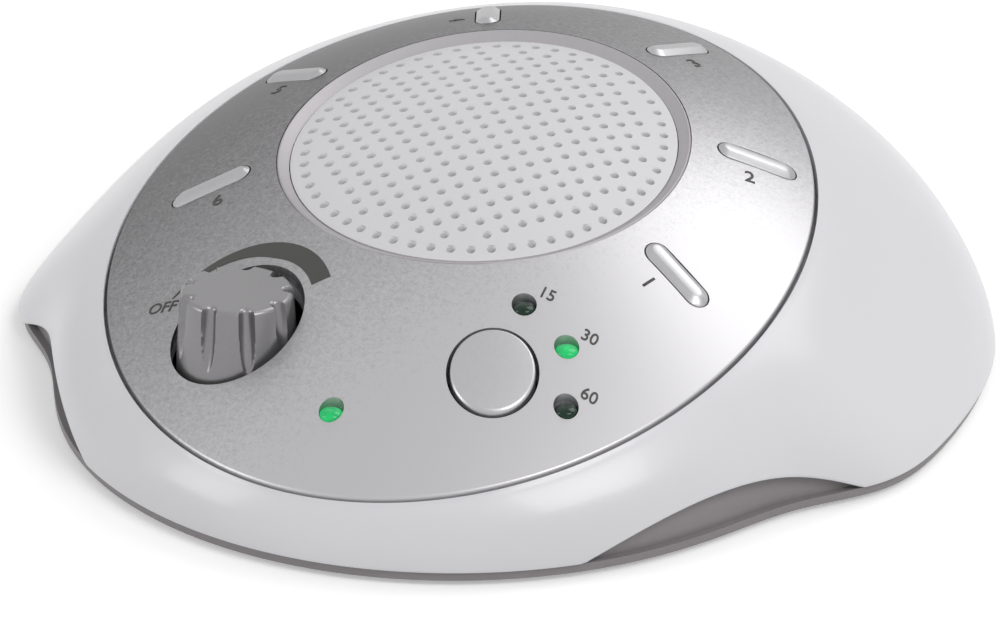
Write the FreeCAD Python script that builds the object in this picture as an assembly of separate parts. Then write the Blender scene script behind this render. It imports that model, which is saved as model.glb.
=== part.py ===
import FreeCAD, Part
import math
import os

# A table-top sound machine: a low domed housing with a wide base, a silver
# control panel, a round speaker grille, six sound buttons, a timer button with
# its three lamps, and a fluted volume knob. Millimetres, +Z up, Z = 0 on the
# table, X to the right seen from the controls. The pieces are drawn about the
# panel's centre, and export moves the origin under the middle of the machine.

vector = FreeCAD.Vector
up = vector(0, 0, 1)

# Dome that the panel, deck, grille and button tops all follow
grille_height = 45.5
grille_y = 9.1
dome_tilt_deg = 9.2
dome_radius_x = 95.0
dome_radius_y = 117.0
dome_skew = 4.6e-6

# Housing outline at the table: an elliptic nose, and behind it the wide base
nose_half_x = 66.0
nose_half_y = 67.3
base_half_x = 79.9
base_half_y = 76.7
base_squareness = 3.16
shoulder_deg = -8.6
shoulder_blend_deg = 4.0

# How far the skirt's profile keeps the dome's slope, and how far it stands upright
nose_crown = 1.1
nose_upright = 0.125
side_crown = 0.378
side_upright = 0.1
back_crown = 1.1
back_upright = 1.08

# Walls, gaps and heights
housing_wall = 1.8
rim_wall = 1.6
deck_thickness = 2.2
foot_stand = 1.0
strip_height = 1.6
strip_inset = 0.8
tray_floor = 2.0
tray_wall = 1.6
tray_wall_height = 9.4
seam_gap = 0.25
slide_gap = 0.2
arch_chord = 51.1
arch_rise = 6.1
arch_angle_deg = 27.4
arch_depth = 30.0

# Silver face panel in its recess
panel_half_x = 55.3
panel_half_y = 63.7
panel_thickness = 1.2
panel_gap = 0.5

# Speaker grille and its trim ring
grille_radius = 31.15
grille_depth = 1.45
grille_thickness = 1.6
grille_flange_radius = 32.2
grille_flange_thickness = 1.2
grille_collar = 1.3
grille_hole = 0.8
grille_pitch = 4.3
grille_field_radius = 27.1
grille_ring_radius = 28.9
grille_ring_holes = 56
ring_radius = 33.25
ring_lip = 0.35
ring_depth = 2.4

# Sound buttons
button_count = 6
button_first_deg = -22.5
button_step_deg = 45.0
button_inner = 37.6
button_outer = 50.1
button_width = 3.9
button_rise = 0.8
button_chamfer = 0.6
button_travel = 1.0
flange_margin = 0.8
flange_thickness = 1.2
stem_radius = 1.4

# Timer button and the lamps around it
control_x = 22.0
control_y = -38.3
timer_radius = 7.15
timer_rise = 0.7
timer_chamfer = 0.9
lamp_ring = 12.5
lamp_step_deg = 45.0
lamp_radius = 1.9
lamp_rise = -0.2
lamp_length = 5.0
lead_radius = 0.3
lead_pitch = 2.0
power_lamp_y = -51.2

# Volume knob and its control
knob_hole_radius = 10.7
knob_top = 32.1
knob_height = 13.4
knob_top_radius = 8.9
knob_base_radius = 9.8
knob_flutes = 9
knob_first_flute_deg = -55.7
knob_flute_radius = 1.9
knob_flute_depth = 1.4
knob_flute_reach = 0.78
knob_round = 0.7
shaft_radius = 3.0
shaft_depth = 8.0
pot_radius = 8.0
pot_height = 4.6
bush_radius = 4.4
bush_height = 1.2
running_gap = 0.05

# Boards and switches
board_thickness = 1.6
main_board_top = 12.0
main_board_half = 38.0
main_board_front = -55.0
main_board_back = -10.0
main_board_corner = 24.0
key_board_drop = 22.0
key_board_inner = 40.0
key_board_outer = 49.0
key_board_open_deg = 115.0
switch_side = 6.0
switch_height = 3.6
switch_well = 2.6
boss_radius = 2.8
screw_radius = 1.2
screw_head_radius = 2.3
screw_head_height = 1.4
screw_length = 6.0
screw_gap = 0.1

# Speaker below the grille
speaker_drop = 12.5
speaker_radius = 28.4
speaker_opening = 24.5
speaker_flange = 1.2
speaker_depth = 11.0
speaker_ear_radius = 36.0
speaker_ear_width = 7.0
basket_wall = 1.0
magnet_radius = 13.5
magnet_height = 5.0
cone_wall = 0.5
cone_neck = 8.0

# Battery bay with four AA cells, and its door
cell_radius = 7.1
cell_length = 49.0
cell_nub_radius = 2.7
cell_nub_length = 1.2
cell_count = 4
cell_pitch = 14.5
bay_wall = 1.3
bay_centre_y = 21.0
bay_end_room = 1.6
door_gap = 0.3
hinge_pin_radius = 0.6
hinge_pin_length = 1.0
contact_thickness = 0.4
contact_width = 9.0

# Feet and housing screws
foot_radius = 5.0
foot_recess = 0.8
foot_front = (32.0, -48.0)
foot_rear = (54.0, 34.0)
post_radius = 3.4
post_front = (48.0, -20.0)
post_rear = (42.0, 36.0)
post_split = 12.0
post_screw_length = 9.0

# Power socket in the rear wall
port_radius = 3.5
port_height = 10.5
port_wall = 3.0
port_pad_radius = 6.5
port_recess = 1.1
jack_width = 9.0
jack_height = 11.0
jack_length = 11.0
jack_gap = 0.6
jack_pin_radius = 1.0

high = 80.0
dome_slope = math.tan(math.radians(dome_tilt_deg))
deck_top = -panel_thickness
deck_under = deck_top - deck_thickness
recess_x = panel_half_x + panel_gap
recess_y = panel_half_y + panel_gap
inner_rim_x = recess_x - rim_wall - 4
inner_rim_y = recess_y - rim_wall - 4
inner_rim_drop = deck_thickness + panel_thickness + 1.0
origin_y = (base_half_y - nose_half_y) / 2
port_face = base_half_y - port_recess
floor_top = foot_stand + tray_floor
edge_height = foot_stand + strip_height
bay_half_x = cell_pitch * (cell_count - 1) / 2 + cell_radius + seam_gap
bay_half_y = cell_length / 2 + cell_nub_length / 2 + bay_end_room
bay_top = floor_top + 2 * cell_radius + 2 * seam_gap
door_thickness = tray_floor - door_gap
hinge_y = bay_centre_y - bay_half_y + door_gap + door_thickness / 2
hinge_z = foot_stand + door_thickness / 2


def dome_z(x, y):
    """Height of the dome that the panel's face follows."""
    v = y - grille_y
    sag = x * x / (2 * dome_radius_x) + v * v / (2 * dome_radius_y)
    return grille_height + dome_slope * v - sag - dome_skew * v * (x * x + v * v)


def dome_slab(low, top):
    """The space between two copies of the dome, shifted along Z."""
    reach_x = recess_x + 6
    reach_y = recess_y + 6
    steps = 5
    rows = []
    for i in range(steps + 1):
        x = -reach_x + 2 * reach_x * i / steps
        column = []
        for j in range(steps + 1):
            y = -reach_y + 2 * reach_y * j / steps
            column.append(vector(x, y, dome_z(x, y) + low))
        rows.append(column)
    surface = Part.BSplineSurface()
    surface.interpolate(rows)
    return surface.toShape().extrude(up * (top - low))


def cylinder(radius, z_low, z_high, x=0.0, y=0.0):
    return Part.makeCylinder(radius, z_high - z_low, vector(x, y, z_low))


def cone(radius_low, radius_high, z_low, z_high, x=0.0, y=0.0):
    return Part.makeCone(radius_low, radius_high, z_high - z_low, vector(x, y, z_low))


def box(x_low, x_high, y_low, y_high, z_low, z_high):
    corner = vector(x_low, y_low, z_low)
    return Part.makeBox(x_high - x_low, y_high - y_low, z_high - z_low, corner)


def elliptic_prism(half_x, half_y, z_low, z_high):
    circle = Part.Face(Part.Wire(Part.Circle(vector(0, 0, 0), up, 1.0).toShape()))
    scale = FreeCAD.Matrix()
    scale.scale(half_x, half_y, 1.0)
    face = circle.transformGeometry(scale)
    face.translate(vector(0, 0, z_low))
    return face.extrude(up * (z_high - z_low))


def slot_prism(inner, outer, width, angle_deg, z_low, z_high):
    """Bar with round ends, lying along a ray from the grille's centre."""
    half = width / 2
    bar = box(inner + half, outer - half, -half, half, z_low, z_high)
    ends = [cylinder(half, z_low, z_high, inner + half), cylinder(half, z_low, z_high, outer - half)]
    bar = bar.multiFuse(ends).removeSplitter()
    bar.rotate(vector(0, 0, 0), up, angle_deg)
    bar.translate(vector(0, grille_y, 0))
    return bar


def on_tilt(shape):
    """Move a shape from the grille's own axis to its tilted place."""
    placed = shape.copy()
    placed.rotate(vector(0, 0, 0), vector(1, 0, 0), dome_tilt_deg)
    placed.translate(vector(0, grille_y, grille_height))
    return placed


def ray_point(radius, angle_deg):
    angle = math.radians(angle_deg)
    return radius * math.cos(angle), grille_y + radius * math.sin(angle)


def mirrored(points):
    return [(side * x, y) for side in (1, -1) for x, y in points]


# Outline of the housing

def ellipse_radius(half_x, half_y, angle):
    return 1 / math.sqrt((math.cos(angle) / half_x) ** 2 + (math.sin(angle) / half_y) ** 2)


def base_share(angle):
    """Nothing on the nose, one on the wide base, with a quick blend at the shoulders."""
    turn = math.degrees(math.atan2(math.sin(angle), abs(math.cos(angle))))
    return 1 / (1 + math.exp(-(turn - shoulder_deg) / shoulder_blend_deg))


def base_radius(angle):
    across = abs(math.cos(angle) / base_half_x) ** base_squareness
    along = abs(math.sin(angle) / base_half_y) ** base_squareness
    return (across + along) ** (-1 / base_squareness)


def profile_handles(angle):
    """Lengths of the two handles of the skirt's profile, as shares of its span."""
    base = base_share(angle)
    back = max(math.sin(angle), 0.0) ** 2 * base
    crown = nose_crown + (side_crown - nose_crown) * base + (back_crown - side_crown) * back
    upright = nose_upright + (side_upright - nose_upright) * base + (back_upright - side_upright) * back
    return crown, upright


def outline_point(angle, inset=0.0):
    """Point on the table outline, moved in along its normal by inset."""
    def at(a):
        nose = ellipse_radius(nose_half_x, nose_half_y, a)
        radius = nose + (base_radius(a) - nose) * base_share(a)
        return vector(radius * math.cos(a), radius * math.sin(a), 0)
    step = 0.002
    along = at(angle + step) - at(angle - step)
    normal = vector(along.y, -along.x, 0).normalize()
    return at(angle) - normal * inset


def closed_curve(point_at, count=80):
    """Smooth closed edge through points at even angles."""
    points = [point_at(2 * math.pi * i / count - math.pi / 2) for i in range(count)]
    curve = Part.BSplineCurve()
    curve.interpolate(Points=points, PeriodicFlag=True)
    return curve.toShape()


def skirt_ring(inset, rim_x, rim_y, rim_drop, z_low):
    """Solid ring whose outer face sweeps from the table outline up to the rim."""
    def rim_point(angle):
        radius = ellipse_radius(rim_x, rim_y, angle)
        x = radius * math.cos(angle)
        y = radius * math.sin(angle)
        return vector(x, y, dome_z(x, y) - rim_drop)

    def profile_point(angle, t):
        rim = rim_point(angle)
        foot = outline_point(angle, inset)
        foot.z = z_low
        reach = (vector(foot.x, foot.y, 0) - vector(rim.x, rim.y, 0)).Length
        outward = (vector(foot.x, foot.y, 0) - vector(rim.x, rim.y, 0)).normalize()
        ahead = rim + outward
        slope = dome_z(ahead.x, ahead.y) - rim_drop - rim.z
        crown, upright = profile_handles(angle)
        near_rim = rim + (outward + up * slope) * (crown * reach)
        near_foot = foot + up * (upright * (near_rim.z - z_low))
        s = 1 - t
        return foot * s ** 3 + near_foot * (3 * s * s * t) + near_rim * (3 * s * t * t) + rim * t ** 3

    levels = (0.0, 0.15, 0.32, 0.5, 0.68, 0.85, 1.0)
    sections = [closed_curve(lambda a, t=t: profile_point(a, t)) for t in levels]
    hem = closed_curve(lambda a: vector(rim_point(a).x, rim_point(a).y, z_low))
    side = Part.makeLoft([Part.Wire(edge) for edge in sections], False, False)
    inner = Part.makeRuledSurface(sections[-1], hem)
    base = Part.makeFace([Part.Wire(sections[0]), Part.Wire(hem)], "Part::FaceMakerBullseye")
    skin = Part.makeShell(side.Faces + [inner, base])
    skin.sewShape()
    solid = Part.makeSolid(Part.Shell(skin.Faces))
    if solid.Volume < 0:
        solid.reverse()
    return solid


def arch_tools():
    """Shallow arcs that lift the lower edge between the front and the wings."""
    radius = ((arch_chord / 2) ** 2 + arch_rise ** 2) / (2 * arch_rise)
    tools = []
    for angle_deg in (-arch_angle_deg, 180 + arch_angle_deg):
        tool = Part.makeCylinder(radius, high, vector(0, 0, 0), vector(1, 0, 0))
        tool.translate(vector(arch_depth, 0, edge_height + arch_rise - radius))
        tool.rotate(vector(0, 0, 0), up, angle_deg)
        tools.append(tool)
    return tools


# Places of the controls

def button_angles():
    return [button_first_deg + button_step_deg * i for i in range(button_count)]


def lamp_places():
    places = {}
    for index, minutes in enumerate((60, 30, 15)):
        angle = math.radians(lamp_step_deg * index)
        x = control_x + lamp_ring * math.cos(angle)
        y = control_y + lamp_ring * math.sin(angle)
        places["timer_lamp_%d" % minutes] = (x, y)
    places["power_lamp"] = (0.0, power_lamp_y)
    return places


def control_holes():
    """Vertical openings for buttons, lamps and knob, shared by panel and deck."""
    holes = []
    for angle in button_angles():
        inner = button_inner - slide_gap
        outer = button_outer + slide_gap
        holes.append(slot_prism(inner, outer, button_width + 2 * slide_gap, angle, 0, high))
    for x, y in lamp_places().values():
        holes.append(cylinder(lamp_radius + slide_gap / 2, 0, high, x, y))
    holes.append(cylinder(timer_radius + slide_gap, 0, high, control_x, control_y))
    holes.append(cylinder(knob_hole_radius, 0, high, -control_x, control_y))
    return holes


# Housing pieces

def face_panel():
    plate = elliptic_prism(panel_half_x, panel_half_y, 0, high).common(dome_slab(-panel_thickness, 0))
    ring_hole = cylinder(ring_radius + slide_gap / 2, 0, high, 0, grille_y)
    return plate.cut(ring_hole.multiFuse(control_holes()))


def speaker_ears():
    return [ray_point(speaker_ear_radius, angle) for angle in (0, 90, 180, 270)]


def key_board_posts():
    middle = (key_board_inner + key_board_outer) / 2
    return [(middle, angle) for angle in (0, 45, 90, 135, 180)]


def main_board_posts():
    x = main_board_half - boss_radius - 1
    y = main_board_back - boss_radius - 1
    return [(x, y), (-x, y), (0.0, control_y + boss_radius)]


def tilted_boss(radius, drop, post_radius_here, angle_deg):
    """Boss hanging from the deck, square to the grille's tilted plane."""
    angle = math.radians(angle_deg)
    x = post_radius_here * math.cos(angle)
    y = post_radius_here * math.sin(angle)
    return on_tilt(cylinder(radius, -drop, 0, x, y))


def top_housing():
    outer = skirt_ring(0.0, recess_x - 2, recess_y - 2, 0.0, edge_height)
    core = elliptic_prism(recess_x - 1, recess_y - 1, edge_height, high).common(dome_slab(-high, deck_top))
    body = outer.fuse(core)
    ring_space = skirt_ring(housing_wall, inner_rim_x, inner_rim_y, inner_rim_drop, edge_height - 1)
    core_space = elliptic_prism(recess_x - rim_wall, recess_y - rim_wall, 0, high)
    core_space = core_space.common(dome_slab(-high, deck_under))
    recess = elliptic_prism(recess_x, recess_y, 0, high).common(dome_slab(deck_top, high))
    body = body.cut(recess).cut(ring_space).cut(core_space)
    body = body.cut(arch_tools()[0]).cut(arch_tools()[1])

    under_deck = elliptic_prism(recess_x - rim_wall / 2, recess_y - rim_wall / 2, 0, high)
    under_deck = under_deck.common(dome_slab(-high, deck_under + deck_thickness / 2))
    bosses = []
    for angle in (0, 90, 180, 270):
        bosses.append(tilted_boss(boss_radius, speaker_drop, speaker_ear_radius, angle))
    for radius, angle in key_board_posts():
        bosses.append(tilted_boss(boss_radius, key_board_drop, radius, angle))
    for x, y in main_board_posts():
        bosses.append(cylinder(boss_radius, main_board_top, high, x, y))
    for x, y in mirrored([post_front, post_rear]):
        bosses.append(cylinder(post_radius, post_split + seam_gap, high, x, y))
    bosses = [boss.common(under_deck) for boss in bosses]
    pad = Part.makeCylinder(port_pad_radius, port_wall, vector(0, port_face - port_wall, port_height),
                            vector(0, 1, 0))
    body = body.multiFuse(bosses + [pad])

    cuts = control_holes()
    cuts.append(cylinder(grille_radius + slide_gap / 2, 0, high, 0, grille_y))
    counterbore = cylinder(ring_radius + slide_gap / 2, 0, high, 0, grille_y)
    cuts.append(counterbore.common(dome_slab(-ring_depth - running_gap, high)))
    for angle in (0, 90, 180, 270):
        cuts.append(tilted_pilot(speaker_drop, speaker_ear_radius, angle))
    for radius, angle in key_board_posts():
        cuts.append(tilted_pilot(key_board_drop, radius, angle))
    for x, y in main_board_posts():
        cuts.append(cylinder(screw_radius + screw_gap, 0, main_board_top + screw_length, x, y))
    for x, y in mirrored([post_front, post_rear]):
        cuts.append(cylinder(screw_radius + screw_gap, 0, post_split + post_screw_length, x, y))
    cuts.append(Part.makeCylinder(port_radius, high, vector(0, port_face - port_wall - 1, port_height),
                                  vector(0, 1, 0)))
    cuts.append(Part.makeCylinder(port_pad_radius - 1, high, vector(0, port_face, port_height),
                                  vector(0, 1, 0)))
    return largest_solid(body.cut(cuts))


def tilted_pilot(drop, radius, angle_deg):
    angle = math.radians(angle_deg)
    x = radius * math.cos(angle)
    y = radius * math.sin(angle)
    hole = cylinder(screw_radius + screw_gap, -drop - 1, -drop + screw_length - 1.5, x, y)
    return on_tilt(hole)


def largest_solid(shape):
    return max(shape.Solids, key=lambda solid: solid.Volume)


def outline_prism(inset, z_low, z_high):
    edge = closed_curve(lambda a: outline_point(a, inset))
    face = Part.Face(Part.Wire(edge))
    face.translate(vector(0, 0, z_low))
    return face.extrude(up * (z_high - z_low))


def inside_housing(inset, z_low, z_high):
    """The room inside the skirt, moved in by inset, between two heights."""
    ring = skirt_ring(inset, inner_rim_x, inner_rim_y, inner_rim_drop, edge_height - 1)
    core = elliptic_prism(inner_rim_x + 0.1, inner_rim_y + 0.1, edge_height - 1, high)
    span = box(-high, high, -high, high, z_low, z_high)
    return ring.fuse(core).common(span)


def bottom_housing():
    inset = housing_wall + seam_gap
    strip = outline_prism(strip_inset, foot_stand, edge_height - seam_gap)
    walls = inside_housing(inset, edge_height - seam_gap - 0.5, foot_stand + tray_wall_height)
    tray = strip.fuse(walls).cut(inside_housing(inset + tray_wall, floor_top, high))
    bay_low_y = bay_centre_y - bay_half_y
    bay_high_y = bay_centre_y + bay_half_y
    bay = box(-bay_half_x - bay_wall, bay_half_x + bay_wall, bay_low_y - bay_wall,
              bay_high_y + bay_wall, foot_stand, bay_top + bay_wall)
    extra = [bay]
    for x, y in mirrored([post_front, post_rear]):
        extra.append(cylinder(post_radius, foot_stand, post_split, x, y))
    cradle_y = port_face - port_wall - jack_gap
    for side in (-1, 1):
        x = side * (jack_width / 2 - 1)
        extra.append(box(x - 0.8, x + 0.8, cradle_y - jack_length, cradle_y - 1, foot_stand,
                         port_height - jack_height / 2))
    tray = tray.multiFuse(extra)
    cuts = [box(-bay_half_x, bay_half_x, bay_low_y, bay_high_y, 0, bay_top)]
    notch = port_pad_radius + seam_gap
    cuts.append(box(-notch, notch, port_face - port_wall - seam_gap, high, port_height - notch, high))
    cuts.append(hinge_rod(hinge_pin_radius + slide_gap / 2, bay_half_x + hinge_pin_length + slide_gap))
    for x, y in mirrored([foot_front, foot_rear]):
        cuts.append(cylinder(foot_radius + slide_gap, 0, foot_stand + foot_recess, x, y))
    for x, y in mirrored([post_front, post_rear]):
        cuts.append(cylinder(screw_radius + screw_gap, 0, high, x, y))
        cuts.append(cylinder(screw_head_radius + slide_gap, 0, post_split - post_seat(), x, y))
    return largest_solid(tray.cut(cuts))


def post_seat():
    return post_split / 3


def hinge_rod(radius, half_length):
    """Round bar on the battery door's hinge line."""
    return Part.makeCylinder(radius, 2 * half_length, vector(-half_length, hinge_y, hinge_z), vector(1, 0, 0))


def battery_door():
    half = bay_half_x - door_gap
    door = box(-half, half, hinge_y, bay_centre_y + bay_half_y - door_gap, foot_stand, floor_top - door_gap)
    barrel = hinge_rod(door_thickness / 2, half)
    pins = hinge_rod(hinge_pin_radius, bay_half_x + hinge_pin_length)
    door = door.multiFuse([barrel, pins])
    ribs = []
    for i in range(5):
        y = bay_centre_y + bay_half_y - 5 - 2.4 * i
        ribs.append(box(-9, 9, y - 0.5, y + 0.5, foot_stand - 1, foot_stand + 0.5))
    return door.cut(ribs)


def rubber_feet():
    return [cylinder(foot_radius, 0, foot_stand + foot_recess, x, y)
            for x, y in mirrored([foot_front, foot_rear])]


def housing_screws():
    screws = []
    seat = post_split - post_seat()
    for x, y in mirrored([post_front, post_rear]):
        head = cylinder(screw_head_radius, seat - screw_head_height, seat, x, y)
        shank = cylinder(screw_radius, seat, post_split + post_screw_length - 2, x, y)
        screws.append(head.fuse(shank))
    return screws


# Grille

def hole_places():
    """A ring of holes along the edge, and staggered rows inside it."""
    places = []
    for i in range(grille_ring_holes):
        angle = 2 * math.pi * i / grille_ring_holes
        places.append((grille_ring_radius * math.cos(angle), grille_ring_radius * math.sin(angle)))
    half = grille_pitch / 2
    count = int(grille_field_radius / half)
    for row in range(-count, count + 1):
        for column in range(-count, count + 1):
            reach = half * math.hypot(row, column)
            if (row + column) % 2 == 0 and reach <= grille_field_radius:
                places.append((half * column, half * row))
    return places


def hexagon_prism(radius, z_low, z_high, x, y):
    points = []
    for i in range(7):
        angle = math.radians(60 * i)
        points.append(vector(x + radius * math.cos(angle), y + radius * math.sin(angle), z_low))
    return Part.Face(Part.makePolygon(points)).extrude(up * (z_high - z_low))


def speaker_grille():
    under = -grille_depth - grille_thickness
    disc = cylinder(grille_radius, 0, high, 0, grille_y).common(dome_slab(under, -grille_depth))
    inner = grille_radius - grille_collar
    flange = cylinder(grille_flange_radius, 0, high, 0, grille_y)
    flange = flange.cut(cylinder(inner, 0, high, 0, grille_y))
    flange = flange.common(dome_slab(deck_under - grille_flange_thickness, deck_under))
    collar = cylinder(grille_radius, 0, high, 0, grille_y).cut(cylinder(inner, 0, high, 0, grille_y))
    collar = collar.common(dome_slab(deck_under - grille_flange_thickness, under + grille_thickness / 2))
    body = disc.multiFuse([flange, collar])
    holes = []
    for x, y in hole_places():
        holes.append(hexagon_prism(grille_hole, grille_height - 15, high, x, grille_y + y))
    return body.cut(Part.makeCompound(holes))


def circle_on_dome(radius, drop):
    def point_at(angle):
        x = radius * math.cos(angle)
        y = grille_y + radius * math.sin(angle)
        return vector(x, y, dome_z(x, y) - drop)
    return closed_curve(point_at, 24)


def grille_ring():
    """Trim ring whose face slopes in from the panel to the sunken grille."""
    corners = [(ring_radius, ring_depth), (ring_radius, 0.0), (ring_radius - ring_lip, 0.0),
               (grille_radius + slide_gap, grille_depth), (grille_radius + slide_gap, ring_depth)]
    edges = [circle_on_dome(radius, drop) for radius, drop in corners]
    faces = []
    for index, edge in enumerate(edges):
        faces.append(Part.makeRuledSurface(edge, edges[(index + 1) % len(edges)]))
    skin = Part.makeShell(faces)
    skin.sewShape()
    solid = Part.makeSolid(Part.Shell(skin.Faces))
    if solid.Volume < 0:
        solid.reverse()
    return solid


# Buttons, lamps and knob

def sound_button(angle_deg):
    bar = slot_prism(button_inner, button_outer, button_width, angle_deg, 0, high)
    low = deck_under - slide_gap - flange_thickness
    body = bar.common(dome_slab(low, button_rise - button_chamfer))
    crown = slot_prism(button_inner + button_chamfer, button_outer - button_chamfer,
                       button_width - 2 * button_chamfer, angle_deg, 0, high)
    crown = crown.common(dome_slab(low, button_rise))
    flange = slot_prism(button_inner - flange_margin, button_outer + flange_margin,
                        button_width + 2 * flange_margin, angle_deg, 0, high)
    flange = flange.common(dome_slab(low, deck_under - slide_gap))
    x, y = ray_point((button_inner + button_outer) / 2, angle_deg)
    stem = cylinder(stem_radius, switch_well_bottom(y) + button_travel + slide_gap, dome_z(x, y) + low + 1, x, y)
    return body.multiFuse([crown, flange, stem])


def key_plane_z(y):
    """Height of the key board's top face."""
    tilt = math.radians(dome_tilt_deg)
    return grille_height + dome_slope * (y - grille_y) - key_board_drop / math.cos(tilt)


def switch_well_bottom(y):
    return key_plane_z(y) + switch_height - switch_well


def timer_button():
    low = deck_under - slide_gap - flange_thickness
    shank = cylinder(timer_radius, 0, high, control_x, control_y)
    shank = shank.common(dome_slab(low, timer_rise - timer_chamfer))
    cap = cylinder(timer_radius - timer_chamfer, 0, high, control_x, control_y)
    cap = cap.common(dome_slab(low, timer_rise))
    flange = cylinder(timer_radius + flange_margin + slide_gap, 0, high, control_x, control_y)
    flange = flange.common(dome_slab(low, deck_under - slide_gap))
    bottom = main_board_top + switch_height - switch_well + button_travel + slide_gap
    stem = cylinder(stem_radius, bottom, dome_z(control_x, control_y) + low + 1, control_x, control_y)
    return shank.multiFuse([cap, flange, stem])


def tact_switch():
    half = switch_side / 2
    body = box(-half, half, -half, half, 0, switch_height)
    return body.cut(cylinder(stem_radius + slide_gap / 2, switch_height - switch_well, high))


def key_switches():
    switches = []
    for angle in button_angles():
        radius = (button_inner + button_outer) / 2
        x, y = ray_point(radius, angle)
        half = switch_side / 2
        body = box(-half, half, -half, half, -key_board_drop, -key_board_drop + switch_height)
        body.rotate(vector(0, 0, 0), up, angle)
        body.translate(vector(x, (y - grille_y) / math.cos(math.radians(dome_tilt_deg)), 0))
        body = on_tilt(body)
        shift = vector(x, y, 0) - vector(body.CenterOfMass.x, body.CenterOfMass.y, 0)
        body.translate(shift + up * (dome_slope * shift.y))
        well = cylinder(stem_radius + slide_gap / 2, switch_well_bottom(y), high, x, y)
        switches.append(body.cut(well))
    return switches


def timer_switch():
    switch = tact_switch()
    switch.translate(vector(control_x, control_y, main_board_top))
    return switch


def lamp(x, y):
    """Round-topped lamp on two leads that stand on the main board."""
    top = dome_z(x, y) + lamp_rise
    lens = cylinder(lamp_radius, top - lamp_radius - lamp_length, top - lamp_radius, x, y)
    bead = Part.makeSphere(lamp_radius, vector(x, y, top - lamp_radius))
    leads = []
    for side in (-1, 1):
        lead_x = x + side * lead_pitch / 2
        leads.append(cylinder(lead_radius, main_board_top, top - lamp_radius - lamp_length + 1, lead_x, y))
    return lens.multiFuse([bead] + leads)


def volume_knob():
    base = knob_top - knob_height
    body = cone(knob_base_radius, knob_top_radius, base, knob_top)
    body = body.makeFillet(knob_round, [edge for edge in body.Edges if edge.BoundBox.ZMin > knob_top - 0.1])
    flutes = []
    for i in range(knob_flutes):
        angle = math.radians(knob_first_flute_deg + 360 * i / knob_flutes)
        ray = vector(math.cos(angle), math.sin(angle), 0)
        end_radius = knob_top_radius + (knob_base_radius - knob_top_radius) * knob_flute_reach
        start = ray * (end_radius + knob_flute_radius) + up * (knob_top - knob_height * knob_flute_reach)
        end = ray * (knob_top_radius + knob_flute_radius - knob_flute_depth) + up * knob_top
        along = end - start
        flutes.append(Part.makeCylinder(knob_flute_radius, along.Length * 1.2, start, along))
    body = body.cut(flutes)
    body = body.cut(cylinder(shaft_radius + running_gap, base, base + shaft_depth))
    body.translate(vector(-control_x, control_y, 0))
    return body


def volume_shaft():
    base = knob_top - knob_height
    return cylinder(shaft_radius, main_board_top + 1.0, base + shaft_depth, -control_x, control_y)


def volume_control():
    body = cylinder(pot_radius, main_board_top, main_board_top + pot_height)
    bush = cylinder(bush_radius, main_board_top, main_board_top + pot_height + bush_height)
    tail = box(-6, 6, pot_radius - 2, pot_radius + 4, main_board_top, main_board_top + 1.6)
    body = body.multiFuse([bush, tail])
    body = body.cut(cylinder(shaft_radius + running_gap, main_board_top + 1.0, high))
    body.translate(vector(-control_x, control_y, 0))
    return body


# Boards

def main_board():
    half = main_board_half
    corner = main_board_corner
    outline = [(-half, main_board_back), (half, main_board_back), (half, main_board_front + corner),
               (half - corner, main_board_front), (-half + corner, main_board_front),
               (-half, main_board_front + corner), (-half, main_board_back)]
    low = main_board_top - board_thickness
    wire = Part.makePolygon([vector(x, y, low) for x, y in outline])
    board = Part.Face(wire).extrude(up * board_thickness)
    holes = [cylinder(screw_radius + screw_gap, 0, high, x, y) for x, y in main_board_posts()]
    return board.cut(holes)


def key_board():
    """Open ring round the speaker, parallel to the grille's plane."""
    low = -key_board_drop - board_thickness
    span = 360 - key_board_open_deg
    outer = Part.makeCylinder(key_board_outer, board_thickness, vector(0, 0, low), up, span)
    board = outer.cut(cylinder(key_board_inner, low - 1, -key_board_drop + 1))
    board.rotate(vector(0, 0, 0), up, key_board_open_deg / 2 - 90)
    for radius, angle_deg in key_board_posts():
        angle = math.radians(angle_deg)
        board = board.cut(cylinder(screw_radius + screw_gap, low - 1, 0, radius * math.cos(angle),
                                   radius * math.sin(angle)))
    board = on_tilt(board)
    posts = [cylinder(post_radius + 2 * seam_gap, 0, high, x, y) for x, y in mirrored([post_rear])]
    return board.cut(posts)


def board_screws():
    screws = []
    seat = main_board_top - board_thickness
    for x, y in main_board_posts():
        head = cylinder(screw_head_radius, seat - screw_head_height, seat, x, y)
        screws.append(head.fuse(cylinder(screw_radius, seat, seat + screw_length, x, y)))
    seat = -key_board_drop - board_thickness
    for radius, angle_deg in key_board_posts():
        screws.append(tilted_screw(seat, radius, angle_deg))
    return screws


def tilted_screw(seat, radius, angle_deg):
    angle = math.radians(angle_deg)
    x = radius * math.cos(angle)
    y = radius * math.sin(angle)
    head = cylinder(screw_head_radius, seat - screw_head_height, seat, x, y)
    shank = cylinder(screw_radius, seat, seat + screw_length - 1.5, x, y)
    return on_tilt(head.fuse(shank))


# Speaker

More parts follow.
